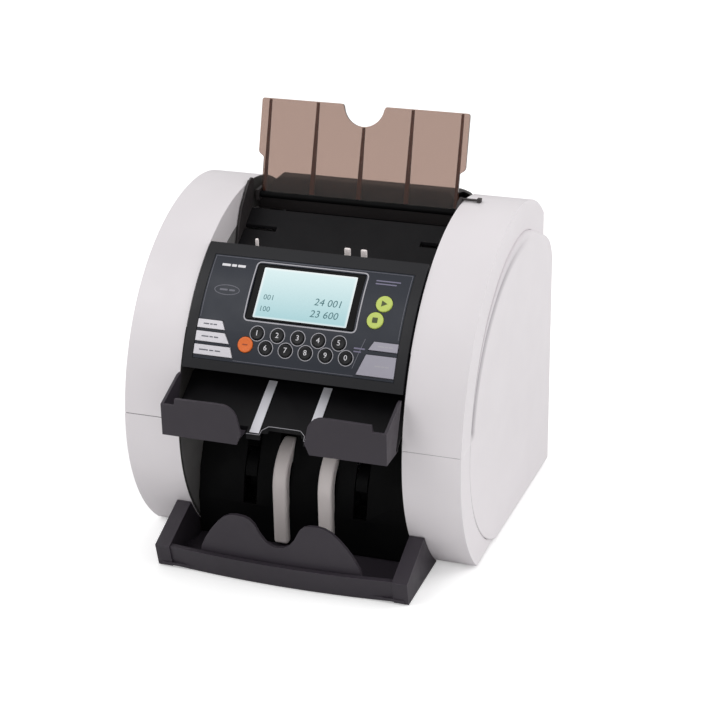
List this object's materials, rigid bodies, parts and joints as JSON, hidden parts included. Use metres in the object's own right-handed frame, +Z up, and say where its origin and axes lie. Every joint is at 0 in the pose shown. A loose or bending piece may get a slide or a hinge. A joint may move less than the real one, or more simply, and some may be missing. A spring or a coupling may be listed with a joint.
{
  "type": "banknote counting machine",
  "caption": "Desktop banknote counter with a rear-leaning smoked note plate over the hopper, a lifting control panel, a reject pocket and a stacker pocket between rounded side pods.",
  "frame": {"origin": "on the surface that the machine stands on, under the middle of its bounding box", "axes": "+X to the right of somebody facing the machine, -Y the front, +Z up"},
  "size_m": [0.312, 0.298, 0.3494],
  "materials": {
    "cover_white": "satin off-white moulding",
    "charcoal_plastic": "fine texture",
    "frame_plastic": "fine texture",
    "tray_plastic": "fine texture",
    "panel_plastic": "satin",
    "black_plastic": "satin",
    "smoked_plate": "polished transparent sheet",
    "ivory_plastic": "satin",
    "screen": "polished window over a lit display",
    "foot_rubber": "matt",
    "roller_rubber": "matt, ground",
    "shaft_steel": "turned",
    "base_pan": "galvanised sheet",
    "motor_housing": "painted",
    "circuit_board": "solder mask",
    "key_dark": "satin",
    "key_orange": "satin",
    "key_green": "satin",
    "key_light": "satin",
    "key_lavender": "satin"
  },
  "bodies": {
    "chassis": {"base_pan": "base_pan", "foot_front_left": "foot_rubber", "foot_front_right": "foot_rubber", "foot_rear_left": "foot_rubber", "foot_rear_right": "foot_rubber", "side_frame_left": "frame_plastic", "side_frame_right": "frame_plastic", "upper_cover_left": "cover_white", "upper_cover_right": "cover_white", "lower_cover_left": "cover_white", "lower_cover_right": "cover_white", "side_panel_left": "cover_white", "side_panel_right": "cover_white", "rear_cover": "charcoal_plastic", "power_inlet": "black_plastic", "hopper_floor": "black_plastic", "note_gate": "ivory_plastic", "stacker_back": "black_plastic", "stacker_rail_left": "ivory_plastic", "stacker_rail_right": "ivory_plastic", "drive_motor": "motor_housing", "drive_belt": "roller_rubber", "main_board": "circuit_board", "reject_floor": "black_plastic", "reject_tray_left": "tray_plastic", "reject_tray_right": "tray_plastic", "transport_guide": "black_plastic", "stacker_tray": "tray_plastic"},
    "power_rocker": {"power_switch": "black_plastic"},
    "note_plate_body": {"note_plate": "smoked_plate"},
    "guide_left": {"hopper_guide_left": "charcoal_plastic"},
    "guide_right": {"hopper_guide_right": "charcoal_plastic"},
    "feed": {"feed_shaft": "shaft_steel", "feed_roller_left": "roller_rubber", "feed_roller_right": "roller_rubber"},
    "stacker": {"stacker_shaft": "shaft_steel", "stacker_wheel_left": "roller_rubber", "stacker_wheel_right": "roller_rubber"},
    "motor": {"motor_pulley": "shaft_steel"},
    "control_unit": {"control_housing": "panel_plastic", "control_face": "panel_plastic", "lcd_window": "screen"},
    "button_1": {"key_1": "key_dark"},
    "button_2": {"key_2": "key_dark"},
    "button_3": {"key_3": "key_dark"},
    "button_4": {"key_4": "key_dark"},
    "button_5": {"key_5": "key_dark"},
    "button_6": {"key_6": "key_dark"},
    "button_7": {"key_7": "key_dark"},
    "button_8": {"key_8": "key_dark"},
    "button_9": {"key_9": "key_dark"},
    "button_0": {"key_0": "key_dark"},
    "button_clear": {"key_clear": "key_orange"},
    "button_start": {"key_start": "key_green"},
    "button_stop": {"key_stop": "key_green"},
    "button_mode": {"key_mode": "key_light"},
    "button_currency": {"key_currency": "key_light"},
    "button_report": {"key_report": "key_light"},
    "button_batch": {"key_batch": "key_lavender"},
    "button_add": {"key_add": "key_lavender"}
  },
  "joints": [
    {"name": "power_rock", "type": "hinge", "parent": "chassis", "child": "power_rocker", "pos_m": [-0.03, 0.144, 0.033], "axis": [1, 0, 0], "range_deg": [0, 10]},
    {"name": "plate_fold", "type": "hinge", "parent": "chassis", "child": "note_plate_body", "pos_m": [0, 0.066, 0.268], "axis": [1, 0, 0], "range_deg": [0, 100]},
    {"name": "guide_right_slide", "type": "slide", "parent": "chassis", "child": "guide_right", "axis": [1, 0, 0], "range_m": [-0.02, 0]},
    {"name": "guide_left_slide", "type": "slide", "parent": "chassis", "child": "guide_left", "axis": [-1, 0, 0], "range_m": [-0.02, 0]},
    {"name": "feed_spin", "type": "hinge", "parent": "chassis", "child": "feed", "pos_m": [0, -0.01, 0.204], "axis": [1, 0, 0], "continuous": true},
    {"name": "stacker_spin", "type": "hinge", "parent": "chassis", "child": "stacker", "pos_m": [0, -0.046, 0.07], "axis": [1, 0, 0], "continuous": true},
    {"name": "motor_spin", "type": "hinge", "parent": "chassis", "child": "motor", "pos_m": [0.108, 0.052, 0.096], "axis": [1, 0, 0], "continuous": true},
    {"name": "control_lift", "type": "hinge", "parent": "chassis", "child": "control_unit", "pos_m": [0, -0.03394, 0.24728], "axis": [-1, 0, 0], "range_deg": [0, 45]},
    {"name": "1_press", "type": "slide", "parent": "control_unit", "child": "button_1", "axis": [0, 0.8427, -0.5383], "range_m": [0, 0.0012], "stiffness_N_per_m": 400, "springref_m": -0.0005},
    {"name": "2_press", "type": "slide", "parent": "control_unit", "child": "button_2", "axis": [0, 0.8427, -0.5383], "range_m": [0, 0.0012], "stiffness_N_per_m": 400, "springref_m": -0.0005},
    {"name": "3_press", "type": "slide", "parent": "control_unit", "child": "button_3", "axis": [0, 0.8427, -0.5383], "range_m": [0, 0.0012], "stiffness_N_per_m": 400, "springref_m": -0.0005},
    {"name": "4_press", "type": "slide", "parent": "control_unit", "child": "button_4", "axis": [0, 0.8427, -0.5383], "range_m": [0, 0.0012], "stiffness_N_per_m": 400, "springref_m": -0.0005},
    {"name": "5_press", "type": "slide", "parent": "control_unit", "child": "button_5", "axis": [0, 0.8427, -0.5383], "range_m": [0, 0.0012], "stiffness_N_per_m": 400, "springref_m": -0.0005},
    {"name": "6_press", "type": "slide", "parent": "control_unit", "child": "button_6", "axis": [0, 0.8756, -0.483], "range_m": [0, 0.0012], "stiffness_N_per_m": 400, "springref_m": -0.0005},
    {"name": "7_press", "type": "slide", "parent": "control_unit", "child": "button_7", "axis": [0, 0.8756, -0.483], "range_m": [0, 0.0012], "stiffness_N_per_m": 400, "springref_m": -0.0005},
    {"name": "8_press", "type": "slide", "parent": "control_unit", "child": "button_8", "axis": [0, 0.8756, -0.483], "range_m": [0, 0.0012], "stiffness_N_per_m": 400, "springref_m": -0.0005},
    {"name": "9_press", "type": "slide", "parent": "control_unit", "child": "button_9", "axis": [0, 0.8756, -0.483], "range_m": [0, 0.0012], "stiffness_N_per_m": 400, "springref_m": -0.0005},
    {"name": "0_press", "type": "slide", "parent": "control_unit", "child": "button_0", "axis": [0, 0.8756, -0.483], "range_m": [0, 0.0012], "stiffness_N_per_m": 400, "springref_m": -0.0005},
    {"name": "clear_press", "type": "slide", "parent": "control_unit", "child": "button_clear", "axis": [0, 0.8731, -0.4875], "range_m": [0, 0.0012], "stiffness_N_per_m": 400, "springref_m": -0.0005},
    {"name": "start_press", "type": "slide", "parent": "control_unit", "child": "button_start", "axis": [0, 0.7112, -0.703], "range_m": [0, 0.0012], "stiffness_N_per_m": 400, "springref_m": -0.0005},
    {"name": "stop_press", "type": "slide", "parent": "control_unit", "child": "button_stop", "axis": [0, 0.7678, -0.6407], "range_m": [0, 0.0012], "stiffness_N_per_m": 400, "springref_m": -0.0005},
    {"name": "mode_press", "type": "slide", "parent": "control_unit", "child": "button_mode", "axis": [0, 0.8334, -0.5526], "range_m": [0, 0.0012], "stiffness_N_per_m": 400, "springref_m": -0.0005},
    {"name": "currency_press", "type": "slide", "parent": "control_unit", "child": "button_currency", "axis": [0, 0.8651, -0.5016], "range_m": [0, 0.0012], "stiffness_N_per_m": 400, "springref_m": -0.0005},
    {"name": "report_press", "type": "slide", "parent": "control_unit", "child": "button_report", "axis": [0, 0.895, -0.446], "range_m": [0, 0.0012], "stiffness_N_per_m": 400, "springref_m": -0.0005},
    {"name": "batch_press", "type": "slide", "parent": "control_unit", "child": "button_batch", "axis": [0, 0.8391, -0.5441], "range_m": [0, 0.0012], "stiffness_N_per_m": 400, "springref_m": -0.0005},
    {"name": "add_press", "type": "slide", "parent": "control_unit", "child": "button_add", "axis": [0, 0.8851, -0.4655], "range_m": [0, 0.0012], "stiffness_N_per_m": 400, "springref_m": -0.0005}
  ],
  "couplings": [
    {"joint": "guide_left_slide", "follows": "guide_right_slide", "ratio": 1},
    {"joint": "motor_spin", "follows": "feed_spin", "ratio": 1.5556},
    {"joint": "stacker_spin", "follows": "feed_spin", "ratio": 0.5}
  ]
}
